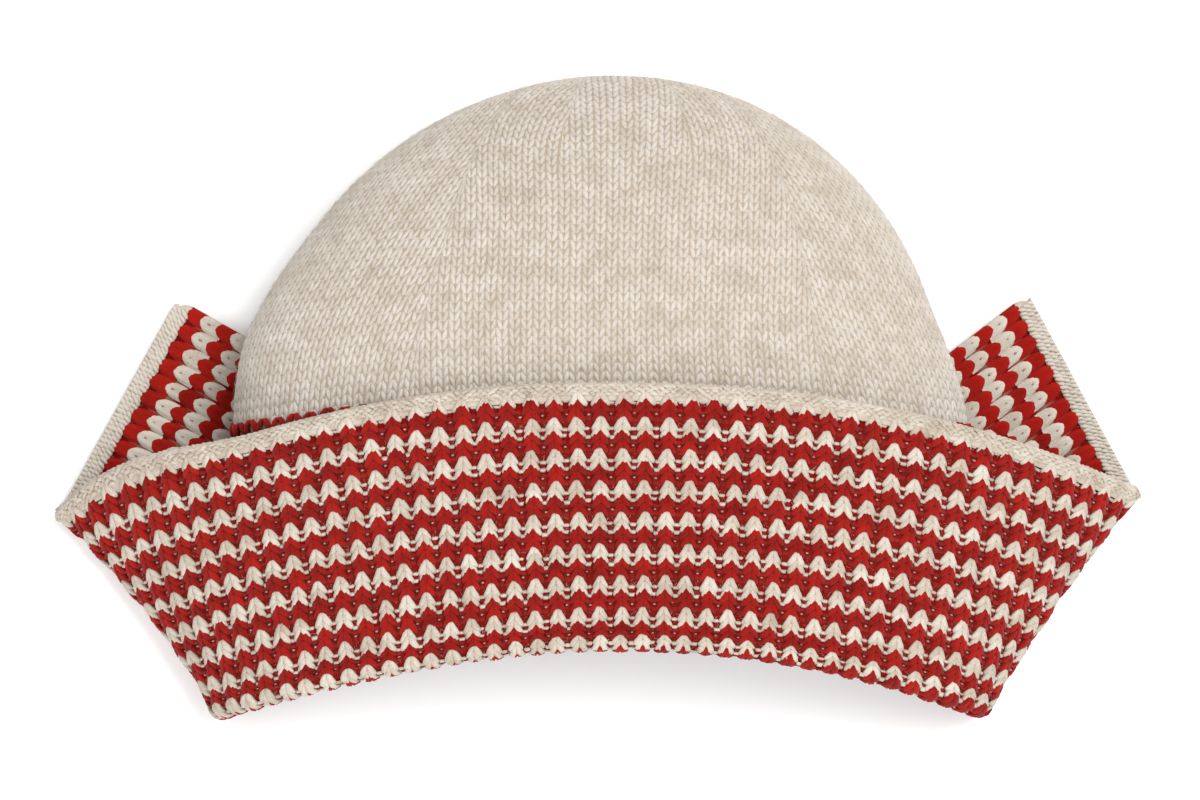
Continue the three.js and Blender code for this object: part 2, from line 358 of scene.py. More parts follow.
def flap_rim(column):
    """The crown's rim, in the middle of its wall, where a column of the flap's inner layer meets it."""
    sign, reach, turn, along = flap_place(column, np.zeros_like(column))
    side_angle = np.radians(RIM_TURN) * turn / (np.pi / 2)
    wing_angle = np.radians(lerp(RIM_TURN, RIM_WING_END, along))
    angle = np.where(along > 0, -wing_angle, np.where(turn > 0, -side_angle, np.arccos(reach)))
    square = np.sqrt(abs(np.cos(angle)))
    flat = np.arctan2(-np.sqrt(abs(np.sin(angle))), square)
    angle = np.where(angle < 0, flat, angle)
    angle = np.where(sign < 0, np.pi - angle, angle)
    point = crown_surface(crown_direction(rim_angle(angle), angle))
    inward = np.stack([-np.cos(angle), np.zeros_like(angle), -np.sin(angle)], -1)
    point = point + inward * CROWN_WALL / 2
    point[..., 1] -= RIM_GAP
    return point


def flap_middle(column, row):
    """The middle surface of the whole strip, by knitted columns and by rows from its cream edge's seam.

    Rows run down the outer layer, closer together by a square law where it rounds off, then round the bottom
    fold in a half circle and straight up to the crown's rim. The fold lies a little askew, so that its row
    changes with the column over the front.
    """
    slip = -SLIP * np.clip(column, *SLIP_REACH) * (1 - smooth_between(abs(column), *SLIP_ENDS))
    row = row + slip * np.interp(row, [0, FOLD_ROW, RIM_ROW], [0, 1, 0])
    rounded = np.clip((row - ROUND_STARTS) / (FOLD_ROW - ROUND_STARTS), 0, 1) ** 2
    share = np.clip(SEAM_SHARE - ROW_SHARE * (row - ROUND_ROWS * rounded), 0, 1)
    outer = flap_outer(column, share)
    zero = np.zeros_like(column)
    foot = flap_outer(column, zero)
    step = 0.02
    high_up = 0.9
    near = np.clip(column - step, -HALF_COLUMNS, HALF_COLUMNS)
    far = np.clip(column + step, -HALF_COLUMNS, HALF_COLUMNS)
    along = flap_outer(far, zero) - flap_outer(near, zero)
    normal = unit(np.cross(along, flap_outer(column, zero + step) - foot))
    down = unit(foot - flap_outer(column, zero + high_up))
    radius = (RIB_WALL + LAYER_GAP) / 2
    angle = (np.clip((row - FOLD_ROW) / UTURN_ROWS, 0, 1) * np.pi)[..., None]
    bend = foot + normal * radius * (np.cos(angle) - 1) + down * radius * np.sin(angle)
    climb = np.clip((row - FOLD_ROW - UTURN_ROWS) / INNER_ROWS, 0, 1)[..., None]
    inner = lerp(foot - normal * radius * 2, flap_rim(column), climb)
    folded = np.where((climb > 0), inner, bend)
    return np.where((row > FOLD_ROW)[..., None], folded, outer)


def end_column(row):
    """How many columns each half of the strip has in a row: fewer at the cream edge's rounded corner."""
    near = np.clip(1 - (row - EDGE_ROW) / CORNER_ROWS, 0, 1)
    return HALF_COLUMNS - CORNER_COLUMNS * (1 - np.sqrt(1 - near**2))


class Cloth:
    """A cloth's surface as a grid of points with their normals, read between the grid's points.

    A place on it has two shares from 0 to 1, along the grid's rows and along its columns. A point there is
    the average of the four grid points around it by nearness, moved along the normal by its height.
    """

    def __init__(self, points, ring=False):
        self.points = points
        self.ring = ring
        along = np.gradient(points, axis=0)
        if ring:
            along[0] = points[1] - points[-2]
            along[-1] = along[0]
        self.normals = unit(np.cross(np.gradient(points, axis=1), along))

    def at(self, along, across, height):
        """The points at these shares that stand these heights off the cloth."""
        rows, columns = self.points.shape[:2]
        along = np.mod(along, 1) if self.ring else np.clip(along, 0, 1)
        x = along * (rows - 1)
        y = np.clip(across, 0, 1) * (columns - 1)
        i = np.minimum(x.astype(int), rows - 2)
        j = np.minimum(y.astype(int), columns - 2)
        x = (x - i)[..., None]
        y = (y - j)[..., None]

        def between(grid):
            near = grid[i, j] * (1 - y) + grid[i, j + 1] * y
            far = grid[i + 1, j] * (1 - y) + grid[i + 1, j + 1] * y
            return near * (1 - x) + far * x

        return between(self.points) + between(self.normals) * np.asarray(height)[..., None]


class CrownCloth(Cloth):
    """The crown's cloth, round the rim by its girth and from the rim to the knit's pole by length.

    It also keeps the girth and the length of the front's middle wale in millimetres, where that wale lies
    round the rim, and the sizes of the cloth's rings as shares of the rim's.
    """

    def __init__(self):
        turn = np.linspace(0, 2 * np.pi, 4001)
        rim = lengths_along(crown_surface(crown_direction(rim_angle(turn), turn)), 0)
        self.girth = rim[-1]
        self.front = np.interp(np.pi / 2, turn, rim) / rim[-1]
        turn = np.interp(np.linspace(0, rim[-1], 721), rim, turn)
        theta = rim_angle(turn)[:, None] * np.linspace(1, 0, 500)
        length = lengths_along(crown_surface(crown_direction(theta, turn[:, None])), 1)
        self.front_length = length[np.argmin(abs(turn - np.pi / 2)), -1]
        order = np.arange(len(turn))[:, None]
        wanted = np.linspace(0, 1, 301) + order
        known = length / length[:, -1:] * 0.999999 + order
        theta = np.interp(wanted.ravel(), known.ravel(), theta.ravel()).reshape(wanted.shape)
        super().__init__(crown_surface(crown_direction(theta, turn[:, None])), ring=True)
        self.normals[:, -2:] = self.normals[:, -3:-2].mean(axis=0, keepdims=True)
        rings = lengths_along(self.points, 0)[-1]
        self.rings = rings / rings[0]
        self.shares = np.linspace(0, 1, len(rings))


class FlapCloth(Cloth):
    """The flap's cloth from the left wing's end to the right one's, and from its cream edge to the rim."""

    def __init__(self):
        column = np.linspace(-HALF_COLUMNS, HALF_COLUMNS, 1201)[:, None]
        row = np.linspace(EDGE_ROW, RIM_ROW, 401)[None, :]
        super().__init__(flap_middle(*np.broadcast_arrays(column, row)))

    def knit(self, column, row, height):
        """Points by columns and rows, standing heights off the cloth's middle, positive on its face."""
        along = (column + HALF_COLUMNS) / (2 * HALF_COLUMNS)
        return self.at(along, (row - EDGE_ROW) / (RIM_ROW - EDGE_ROW), height)

    def place_on(self, side, row_start=0.0, sway=0.0):
        """A function that puts stitches on one side of the cloth, with wavy columns where there is a sway."""

        def place(spot, local):
            wave = sway * np.sin(0.7 * spot[..., 1] + 2.1 * spot[..., 0])
            across = spot[..., 0] + local[..., 0] / COLUMN_MM + wave
            down = spot[..., 1] + row_start - local[..., 1] / ROW_MM
            return self.knit(across, down, side * local[..., 2])

        return place

    def band(self, steps, rows, half):
        """A closed sheet over these rows of the strip, with half its thickness given for each row.

        Returns points, triangles, the row of each point of its face and the yarn's place at each point.
        """
        share, row = np.meshgrid(np.linspace(-1, 1, steps), rows, indexing="ij")
        column = share * end_column(row)
        half = np.broadcast_to(half, row.shape)
        points, triangles = closed_sheet(self.knit(column, row, half), self.knit(column, row, -half))
        places = np.tile(np.stack([column * COLUMN_MM, row], -1).reshape(-1, 2), (2, 1))
        return points, triangles, row, places


def two_triangles(a, b, c, d):
    """Two triangles for each cell whose corners are a, b, c and d in turn."""
    return np.concatenate([
        np.stack([a, b, c], -1).reshape(-1, 3),
        np.stack([a, c, d], -1).reshape(-1, 3),
    ])


def grid_triangles(rows, columns, ring=False):
    """Triangles of a grid numbered row by row, with the last row joined to the first in a ring."""
    i = np.arange(rows if ring else rows - 1)[:, None]
    j = np.arange(columns - 1)[None, :]
    near = i * columns + j
    far = ((i + 1) % rows) * columns + j
    return two_triangles(near, near + 1, far + 1, far)


def bridge(near, far):
    """Triangles between two lines of points."""
    return two_triangles(near[:-1], near[1:], far[1:], far[:-1])


def closed_sheet(face, back):
    """Points and triangles of a sheet with a face and a back, closed along its four sides."""
    rows, columns = face.shape[:2]
    count = rows * columns
    number = np.arange(count).reshape(rows, columns)
    front = grid_triangles(rows, columns)
    triangles = np.concatenate([
        front,
        front[:, ::-1] + count,
        bridge(number[0], number[0] + count)[:, ::-1],
        bridge(number[-1], number[-1] + count),
        bridge(number[:, 0], number[:, 0] + count),
        bridge(number[:, -1], number[:, -1] + count)[:, ::-1],
    ])
    return np.concatenate([face.reshape(-1, 3), back.reshape(-1, 3)]), triangles


def closed_dome(face, back):
    """Points and triangles of a dome's wall, closed along its rim and at both its poles."""
    rows, columns = face.shape[:2]
    count = rows * columns
    number = np.arange(count).reshape(rows, columns)
    rim = np.append(number[:, 0], number[0, 0])
    top = np.append(number[:, -1], number[0, -1])
    front = grid_triangles(rows, columns, ring=True)
    pole = np.full(rows, 2 * count)
    triangles = np.concatenate([
        front,
        front[:, ::-1] + count,
        bridge(rim, rim + count),
        np.stack([top[:-1], pole, top[1:]], -1),
        np.stack([top[1:] + count, pole + 1, top[:-1] + count], -1),
    ])
    poles = np.stack([face[:, -1].mean(axis=0), back[:, -1].mean(axis=0)])
    return np.concatenate([face.reshape(-1, 3), back.reshape(-1, 3), poles]), triangles


def spindle(path, wide, tall, sides):
    """A pointed length of yarn along a path of (across, up, height) points in millimetres.

    Round each inner point of the path stands a ring, an ellipse square to the path, and the path's ends are
    the spindle's tips. Returns points, triangles and a (along, around) place for each point.
    """
    path = np.asarray(path, float)
    line = np.gradient(path, axis=0)[1:-1, :2]
    square = unit(np.stack([line[:, 1], -line[:, 0]], -1))
    angle = np.arange(sides) * 2 * np.pi / sides
    rings = len(path) - 2
    flat = square[:, None, :] * (np.asarray(wide)[:, None] * np.cos(angle))[..., None]
    high = np.broadcast_to(np.asarray(tall)[:, None] * np.sin(angle), (rings, sides))[..., None]
    points = path[1:-1, None, :] + np.concatenate([flat, high], -1)
    points = np.concatenate([points.reshape(-1, 3), path[:1], path[-1:]])
    along = lengths_along(path, 0)
    around = np.broadcast_arrays(along[1:-1, None], angle[None, :] / (2 * np.pi))
    places = np.concatenate([np.stack(around, -1).reshape(-1, 2), [[along[0], 0.5], [along[-1], 0.5]]])
    side = np.arange(sides)
    following = (side + 1) % sides
    first = (np.arange(rings - 1) * sides)[:, None]
    second = first + sides
    body = two_triangles(first + side, first + following, second + following, second + side)
    last = (rings - 1) * sides
    tips = np.concatenate([
        np.stack([following, side, np.full(sides, rings * sides)], -1),
        np.stack([last + side, last + following, np.full(sides, rings * sides + 1)], -1),
    ])
    return points, np.concatenate([body, tips]), places


def pair_of(template):
    """A spindle and its mirror image as one template, as the two legs of a stitch."""
    points, triangles, places = template
    return (
        np.concatenate([points, points * [-1, 1, 1]]),
        np.concatenate([triangles, triangles[:, ::-1] + len(points)]),
        np.concatenate([places, places + [0, 0.37]]),
    )


def rib_stitch(full):
    """A rib stitch on the flap's face: two legs from a round head, spread to the column's sides."""
    path = np.array([
        (0.02, 1.72, 0.85), (0.28, 1.16, 1.10), (0.70, -0.15, 1.12),
        (1.26, -1.15, 1.00), (1.76, -1.95, 0.72), (2.10, -2.75, 0.35),
    ])
    return pair_of(spindle(path, full * np.array([0.76, 0.98, 1.00, 0.85]), [0.64, 0.72, 0.72, 0.60], 5))


def rim_stitch(full):
    """A stitch of the row that joins strip and crown: a pointed arch of two legs."""
    path = np.array([
        (0.02, 2.7, 0.1), (0.60, 2.3, 0.5), (1.40, 1.45, 0.55),
        (1.95, 0.3, 0.40), (2.10, -0.3, 0.0), (2.10, -0.5, -0.4),
    ])
    return pair_of(spindle(path, full * np.array([0.75, 0.95, 0.95, 0.75]), [0.7, 0.8, 0.8, 0.7], 5))


def hidden_stitch():
    """A rib stitch where it hardly shows: two legs of two rings each."""
    path = np.array([(0.02, 1.62, 0.80), (0.56, 1.06, 1.04), (1.80, -1.45, 0.52), (1.86, -1.95, 0.25)])
    return pair_of(spindle(path, [0.96, 0.95], [0.75, 0.70], 3))


def wing_scale():
    """A stripe's two stitches in one column of a wing, stretched flat into one plump scale.

    A grid from the round head to the foot, as wide as the column. It is highest behind its head and lower at
    its sides, foot and middle line, and it is closed below by a fan of triangles. The next scale covers its
    foot.
    """
    steps = [0, 0.08, 0.25, 0.5, 0.78, 1]
    down, side = np.meshgrid(steps, [-1, -0.8, -0.42, 0, 0.42, 0.8, 1], indexing="ij")
    half = np.interp(down, steps, [0.9, 1.75, 2.45, 2.8, 2.98, 2.98])
    crest = np.interp(down, steps, [0.9, 1.55, 1.98, 1.85, 1.5, 1.15])
    swell = np.interp(abs(side), [0, 0.42, 0.8, 1], [0.86, 1, 0.76, 0.1])
    crease = 0.4 * (side == 0) * (down > 0.2)
    points = np.stack([side * half, 1.55 - 6.2 * down, lerp(0.45, crest, swell) - crease], -1)
    rows, columns = down.shape
    number = np.arange(down.size).reshape(rows, columns)
    border = np.concatenate([number[0], number[1:, -1], number[-1, -2::-1], number[-2::-1, 0]])
    under = np.full(len(border) - 1, down.size)
    fan = np.stack([border[:-1], border[1:], under], -1)
    triangles = np.concatenate([grid_triangles(rows, columns)[:, ::-1], fan[:, ::-1]])
    points = np.concatenate([points.reshape(-1, 3), [[0, -1.2, 0.2]]])
    return points, triangles, points[:, 1::-1] * [1, 0.15]


def valley_bar(start, end, level, sag, height, half):
    """A bar of yarn across the valley between two columns, hanging down and standing out in its middle."""
    step = np.array([0, 0.3, 0.7, 1])
    rise = np.sin(np.pi * step)
    path = np.stack([lerp(start, end, step), level - sag * rise, height + 0.3 * rise], -1)
    return spindle(path, [half, half], [0.42, 0.42], 4)


def fibre():
    """A stray fibre a millimetre long, lying at one end and standing off the cloth at the other."""
    path = np.array([(-0.5, -0.1, 0.0), (0.0, 0.12, 0.55 * FIBRE_LIFT), (0.5, -0.1, FIBRE_LIFT)])
    return spindle(path, [0.035], [0.035], 3)


def signed_volume(points, triangles):
    """Six times the volume inside a closed mesh, negative if its faces point inwards."""
    a, b, c = (points[triangles[:, k]] for k in range(3))
    return (a * np.cross(b, c)).sum()


def mesh_object(name, points, triangles, material, attributes=None, places=None):
    """A smooth mesh object from points in millimetres, moved to the row frame, facing outwards.

    Where it would reach through the floor it is pressed flat on it.
    """
    if signed_volume(points - points.mean(axis=0), triangles) < 0:
        triangles = triangles[:, ::-1]
    triangles = np.ascontiguousarray(triangles, np.int32)
    placed = ((points + SHIFT) * MM).astype(np.float32)
    placed[:, 2] = np.maximum(placed[:, 2], 0)
    if not np.isfinite(placed).all():
        raise ValueError(f"{name} has a point that isn't finite")
    mesh = bpy.data.meshes.new(name)
    mesh.vertices.add(len(placed))
    mesh.vertices.foreach_set("co", placed.ravel())
    mesh.loops.add(triangles.size)
    mesh.loops.foreach_set("vertex_index", triangles.ravel())
    mesh.polygons.add(len(triangles))
    mesh.polygons.foreach_set("loop_start", np.arange(0, triangles.size, 3, dtype=np.int32))
    mesh.update(calc_edges=True)
    mesh.shade_smooth()
    for key, values in (attributes or {}).items():
        layer = mesh.attributes.new(key, "FLOAT", "POINT")
        layer.data.foreach_set("value", np.array(np.broadcast_to(values, len(placed)), np.float32))
    if places is not None:
        layer = mesh.uv_layers.new(name="yarn")
        layer.data.foreach_set("uv", places[triangles.ravel()].astype(np.float32).ravel())
    mesh.materials.append(material)
    made = bpy.data.objects.new(name, mesh)
    bpy.context.scene.collection.objects.link(made)
    return made


def knitted(name, template, spots, place, material, dye, seed, tone=0.5, turn=None, size=None):
    """One object of many like stitches.

    Every spot is a place on a cloth, counted in stitches, and place turns those counts, with the template's
    own across, up and height in millimetres, into points. Each stitch gets a tone of its own. A turn for each
    spot turns its template about the cloth's normal, and a size stretches it first from side to side.
    """
    points, triangles, places = template
    count = len(spots)
    chance = np.random.default_rng(seed)
    loose = chance.normal(0, 1, (count, 4))
    local = points[None] * (1 + 0.05 * loose[:, None, :1])
    if size is not None:
        local = local * np.stack([size, np.ones(count), np.ones(count)], -1)[:, None, :]
    if turn is not None:
        cosine = np.cos(turn)[:, None]
        sine = np.sin(turn)[:, None]
        across = local[..., 0] * cosine - local[..., 1] * sine
        up = local[..., 0] * sine + local[..., 1] * cosine
        local = np.stack([across, up, local[..., 2]], -1)
    local = local + np.concatenate([loose[:, 1:3] * 0.07, np.zeros((count, 1))], 1)[:, None, :]
    placed = place(spots[:, None, :], local)
    offsets = (np.arange(count) * len(points))[:, None, None]
    tones = np.broadcast_to(tone, count) + 0.07 * loose[:, 3]
    values = {"tone": tones, "dye": np.broadcast_to(dye, count)}
    values = {key: np.repeat(each, len(points)) for key, each in values.items()}
    along = places[None] + chance.random((count, 1, 2)) * [40, 1]
    all_triangles = (triangles[None] + offsets).reshape(-1, 3)
    return mesh_object(name, placed.reshape(-1, 3), all_triangles, material, values, along.reshape(-1, 2))


def fuzz(name, spots, place, material, dye, seed):
    """One object of stray fibres, turned every way and from one to three and a half millimetres long."""
    chance = np.random.default_rng(seed + 500)
    turn = chance.random(len(spots)) * 2 * np.pi
    size = 1.0 + 2.5 * chance.random(len(spots)) ** 2
    return knitted(name, fibre(), spots, place, material, dye, seed, 0.75, turn, size)


def yarn_tone(position, seed):
    """A tone that drifts along the yarn: random values seven stitches apart with straight lines between."""
    chance = np.random.default_rng(seed)
    knots = np.arange(0, position.max() + 8, 7)
    return np.interp(position, knots, 0.5 + 0.025 * chance.normal(0, 1, len(knots)))


def stripe_of(row):
    """0 on the red stripes and 1 on the cream ones, two rows to a stripe, red next to the cream edge."""
    return np.mod(np.floor(row / 2), 2)


def spread_row(row):
    """Where a row of the front lies: a cream stripe's rows are drawn together and a red one's are spread."""
    return row + STRIPE_SPREAD[np.mod(row.astype(int), 4)]


def crowded(place, line):
    """Places up to a line of decreases, drawn closer at it and ending a quarter of a wale past it."""
    over = np.maximum(place - (line - 0.25), 0)
    return np.where(over > 0, line - 0.25 + 0.5 * (1 - np.exp(-over / 0.5)), place)


def length(name, description, default):
    """A property for a length in metres."""
    return bpy.props.FloatProperty(name=name, description=description, default=default, unit="LENGTH")


def colour(name, description, default):
    """A property for a colour."""
    return bpy.props.FloatVectorProperty(
        name=name, description=description, default=default, subtype="COLOR",
    )


class HatSizes(bpy.types.PropertyGroup):
    """Sizes of the knit that stand out from the solids"""

    crown_yarn: length("Crown yarn", "Width of a leg of the crown's stitches", 0.0015)
    rib_yarn: length("Rib yarn", "Width of a leg of the flap's stitches", 0.0015)
    edge_yarn: length("Edge yarn", "Width of the yarn in the flap's cream edge", 0.0011)
    view_width: length("View width", "Width that the picture covers at the floor", 0.3276)
    view_distance: length("View distance", "Height of the camera over the hat", 4.0)


class HatColours(bpy.types.PropertyGroup):
    """Colours of the wool and of the floor"""

    oatmeal: colour("Oatmeal", "Light fibres of the crown's yarn", from_srgb(186, 179, 171))
    oatmeal_dark: colour("Dark oatmeal", "Tan fibres of the crown's yarn", from_srgb(161, 151, 137))
    red: colour("Red", "Light fibres of the red yarn", from_srgb(143, 20, 11))
    red_dark: colour("Dark red", "Dark fibres of the red yarn", from_srgb(88, 6, 3))
    cream: colour("Cream", "Light fibres of the cream yarn", from_srgb(186, 178, 166))
    cream_dark: colour("Dark cream", "Dark fibres of the cream yarn", from_srgb(146, 129, 111))
    floor: colour("Floor", "Pale floor that the hat lies on", (0.9, 0.9, 0.9))


def feed(tree, node, inputs):
    """Gives a node's inputs their values, or links them to another node's output."""
    for key, value in inputs.items():
        socket = node.inputs[key]
        if isinstance(value, bpy.types.NodeSocket):
            tree.links.new(value, socket)
        elif socket.type == "RGBA":
            socket.default_value = (*value, 1)
        else:
            socket.default_value = value


def add_node(tree, kind, column, row, inputs=None, **settings):
    """A shader node at a place in the tree's layout, with its settings and inputs."""
    node = tree.nodes.new("ShaderNode" + kind)
    node.location = (220 * column, -180 * row)
    for key, value in settings.items():
        setattr(node, key, value)
    feed(tree, node, inputs or {})
    return node


def blend_colours(tree, column, row, share, first, second):
    """A mix of two colours by a share, where a colour is a value or another node's output."""
    mix = add_node(tree, "Mix", column, row, {"Factor": share}, data_type="RGBA")
    sockets = [number for number, socket in enumerate(mix.inputs) if socket.type == "RGBA"]
    feed(tree, mix, dict(zip(sockets, (first, second))))
    return next(socket for socket in mix.outputs if socket.type == "RGBA")


def new_material(name):
    """A material with nodes, its tree and its shader."""
    material = bpy.data.materials.new(name)
    material.use_nodes = True
    return material, material.node_tree, material.node_tree.nodes["Principled BSDF"]


def wool_material(name, first, second=None, streaks=1.0, sheen=0.06):
    """Wool yarn: fibres along the yarn with a slight twist, in a dark and a light colour of each dye.

    The fibres are noise stretched along the yarn. The tone of each stitch shifts its share of light fibres,
    and the dye picks the second pair of colours where it is given.
    """
    material, tree, shader = new_material(name)
    yarn = add_node(tree, "UVMap", -8, 0, uv_map="yarn").outputs["UV"]
    twisted = {"Vector": yarn, "Scale": (1.2, 7.0, 1.0), "Rotation": (0, 0, 0.12)}
    stretch = add_node(tree, "Mapping", -7, 0, twisted).outputs["Vector"]
    fine = {"Vector": stretch, "Scale": 1.6, "Detail": 4.0}
    fibres = add_node(tree, "TexNoise", -6, 0, fine).outputs["Fac"]
    coords = add_node(tree, "TexCoord", -8, 2).outputs["Object"]
    coarse = {"Vector": coords, "Scale": 170.0, "Detail": 5.0}
    heather = add_node(tree, "TexNoise", -6, 2, coarse).outputs["Fac"]
    tone = add_node(tree, "Attribute", -6, 3, attribute_name="tone").outputs["Fac"]
    mixed = add_node(tree, "Math", -5, 1, {0: heather, 1: tone}, operation="ADD").outputs["Value"]
    streaked = {0: fibres, 1: streaks, 2: mixed}
    spread = add_node(tree, "Math", -4, 1, streaked, operation="MULTIPLY_ADD").outputs["Value"]
    limits = {"Value": spread, "From Min": 0.55 + 0.5 * streaks, "From Max": 1.25 + 0.5 * streaks}
    light = add_node(tree, "MapRange", -3, 1, limits).outputs["Result"]
    shade = blend_colours(tree, -2, 0, light, *first)
    if second is not None:
        dye = add_node(tree, "Attribute", -3, 3, attribute_name="dye").outputs["Fac"]
        shade = blend_colours(tree, -1, 1, dye, shade, blend_colours(tree, -2, 2, light, *second))
    relief = {"Strength": 0.5, "Distance": 0.0002, "Height": fibres}
    bump = add_node(tree, "Bump", -1, 3, relief).outputs["Normal"]
    matt = {"Roughness": 0.95, "Specular IOR Level": 0.05, "Sheen Weight": sheen, "Sheen Roughness": 0.6}
    feed(tree, shader, {**matt, "Base Color": shade, "Normal": bump})
    return material


def floor_material(pale):
    """Matt pale floor with a very faint mottle."""
    material, tree, shader = new_material("pale_floor")
    coords = add_node(tree, "TexCoord", -4, 0).outputs["Object"]
    mottle = add_node(tree, "TexNoise", -3, 0, {"Vector": coords, "Scale": 6.0}).outputs["Fac"]
    paler = tuple(min(1.0, 1.01 * value) for value in pale)
    shade = blend_colours(tree, -2, 0, mottle, pale, paler)
    feed(tree, shader, {"Roughness": 0.9, "Specular IOR Level": 0.1, "Base Color": shade})
    return material


def belong(pieces, node):
    """Puts pieces on the hat's one body, in place of a solid, which it hides."""
    for piece in pieces:
        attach(piece, "root")
        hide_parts(node)


class FLAP_HAT_OT_crown(bpy.types.Operator):
    """Knit the plain domed crown: its wall, and its stitches in sectors that narrow towards the top"""

    bl_idname = "flap_hat.crown"
    bl_label = "Knit Crown"

    def execute(self, context):
        sizes = context.scene.flap_hat_sizes
        colours = context.scene.flap_hat_colours
        wool = wool_material("oatmeal_wool", (colours.oatmeal_dark, colours.oatmeal))
        # The wall's wool is the dark fibres' tan, warmed and kept dark: painted warm shade where the wall
        # shows between the stitches
        shaded_tan = np.array(colours.oatmeal_dark) * [1.0, 0.93, 0.84]
        shade_wool = wool_material("oatmeal_wool_shade", [tuple(share * shaded_tan) for share in (0.93, 1.08)])
        cloth = CrownCloth()
        wall = self.wall(cloth, shade_wool)
        pieces = self.stitches(cloth, wool, sizes.crown_yarn / MM)
        pieces.append(self.fibres(cloth, wool))
        belong((wall, *pieces), "crown")
        return {"FINISHED"}

    def wall(self, cloth, wool):
        """The crown's wall under its stitches, from its cloth by two heights, in a painted shade of tan."""
        along, across = np.meshgrid(np.arange(150) / 150, np.linspace(0, 0.985, 44), indexing="ij")
        outer = cloth.at(along, across, -CROWN_BASE_DEPTH)
        points, triangles = closed_dome(outer, cloth.at(along, across, -CROWN_WALL))
        places = np.zeros((len(points), 2))
        grid = np.stack([along * 900, across * 120], -1).reshape(-1, 2)
        places[: 2 * len(grid)] = np.tile(grid, (2, 1))
        # Its low tone darkens it further: more painted shade in the gaps
        return mesh_object("crown_wall", points, triangles, wool, {"tone": 0.3, "dye": 1.0}, places)

    def fibres(self, cloth, wool):
        """Stray fibres all over the crown, spread evenly by area."""
        chance = np.random.default_rng(14)
        spots = chance.random((CROWN_FIBRES, 2)) * [1, 0.97]
        spots = spots[chance.random(len(spots)) < np.interp(spots[:, 1], cloth.shares, cloth.rings)]

        def place(spot, local):
            ring = np.maximum(np.interp(spot[..., 1], cloth.shares, cloth.rings), 0.15)
            along = spot[..., 0] + local[..., 0] / (cloth.girth * ring)
            return cloth.at(along, spot[..., 1] + local[..., 1] / cloth.front_length, local[..., 2] - 0.1)

        return fuzz("crown_fuzz", spots, place, wool, 1.0, 15)

    def stitches(self, cloth, wool, width):
        """V stitches by sector, wale and course.

        A sector's wales keep to its middle line and end at its sides. Higher up its outer wales bend to
        follow the sides, and end at two inner lines of decreases.
        """
        courses = int(round(cloth.front_length / COURSE_MM))
        halves = np.maximum(PANEL_WALES / 2 * cloth.rings**NARROWING, 0.6)
        bend = smooth_between(cloth.shares, BEND_STARTS, BEND_ENDS)
        drifts = np.append(0, np.cumsum(-np.diff(halves) * bend[1:]))
        inner_wale = INNER_LINE * np.interp(BEND_STARTS, cloth.shares, halves)

        def lines(share):
            half = np.interp(share, cloth.shares, halves)
            inner = np.where(share > BEND_STARTS, INNER_LINE * half, half)
            return half, inner, np.interp(share, cloth.shares, drifts)

        reach = PANEL_WALES // 2
        panel, wale, course = np.meshgrid(
            np.arange(PANELS), np.arange(-reach, reach + 1), np.arange(courses - 1), indexing="ij",
        )
        half, inner, drift = lines((course + 0.5) / courses)
        bent = abs(wale) - drift
        beside = (bent < half + 0.5) & ((bent > inner - 0.5) | (inner == half))
        kept = np.where(abs(wale) > inner_wale, beside, abs(wale) < inner + 0.5)
        spots = np.stack([panel[kept], wale[kept], course[kept]], -1).astype(float)
        front_share = cloth.front - PANEL_OFFSET_MM / cloth.girth

        def place(spot, local):
            number, wale_at, course_at = np.moveaxis(spot, -1, 0)
            share = (course_at + 0.5 + local[..., 1] / COURSE_MM) / courses
            half, inner, drift = lines(np.clip(share, 0, 1))
            signed = wale_at + local[..., 0] / WALE_MM
            outside = crowded(abs(signed) - drift, half)
            bent = np.where(inner < half, -crowded(-outside, -inner), outside)
            from_middle = np.where(abs(wale_at) > inner_wale, bent, crowded(abs(signed), inner))
            across = np.sign(signed) * from_middle / (2 * half)
            sector = np.where(number > PANELS / 2, number - PANELS, number)
            return cloth.at(front_share + (sector + across) / PANELS, share, local[..., 2])

        step = np.array([0, 0.1, 0.5, 0.9, 1])
        path = np.stack([0.26 + 1.05 * step, -1.5 + 3.4 * step, -0.50 + 0.20 * np.sin(np.pi * step)], -1)
        fine = pair_of(spindle(path, width / 2 * np.array([1.05, 1.26, 1.05]), [0.34, 0.38, 0.34], 4))
        short = path[[0, 1, 3, 4]] + [0, 0, 0.2]
        plain = pair_of(spindle(short, width / 2 * np.array([1.1, 1.1]), [0.36, 0.36], 3))
        number, wale, course = spots.T
        tone = yarn_tone(course * PANELS * PANEL_WALES + number * PANEL_WALES + wale + reach, 13)
        left_front = (number == 1) & (wale < FINE_LEFT_WALE)
        right_front = (number == PANELS - 1) & (wale > FINE_RIGHT_WALE)
        near_front = (number == 0) | left_front | right_front
        return [
            knitted(name, stitch, spots[chosen], place, wool, 1.0, seed, tone[chosen])
            for name, stitch, chosen, seed in (
                ("crown_front_stitches", fine, near_front, 11),
                ("crown_back_stitches", plain, ~near_front, 12),
            )
        ]


